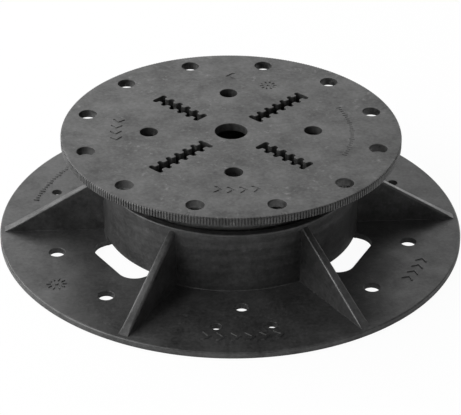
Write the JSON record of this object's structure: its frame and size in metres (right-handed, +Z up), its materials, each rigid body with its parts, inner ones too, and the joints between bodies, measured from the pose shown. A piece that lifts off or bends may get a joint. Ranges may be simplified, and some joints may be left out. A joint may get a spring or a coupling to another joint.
{
  "type": "decking pedestal",
  "caption": "Adjustable decking pedestal: a gusseted base flange with drain windows and a threaded collar, and a perforated round head that is raised or lowered to level a deck.",
  "frame": {"origin": "on the ground at the centre of the base", "axes": "+Z up along the axis of the collar; one gusset lies along +X"},
  "size_m": [0.2, 0.2, 0.0482],
  "materials": {
    "base_plastic": "moulded satin, dark grey",
    "head_plastic": "moulded satin, dark grey, scuffed on top"
  },
  "bodies": {
    "base": {"base": "base_plastic"},
    "head": {"head": "head_plastic"}
  },
  "joints": [
    {"name": "head_height", "type": "slide", "parent": "base", "child": "head", "axis": [0, 0, 1], "range_m": [-0.0132, 0.0018]}
  ]
}
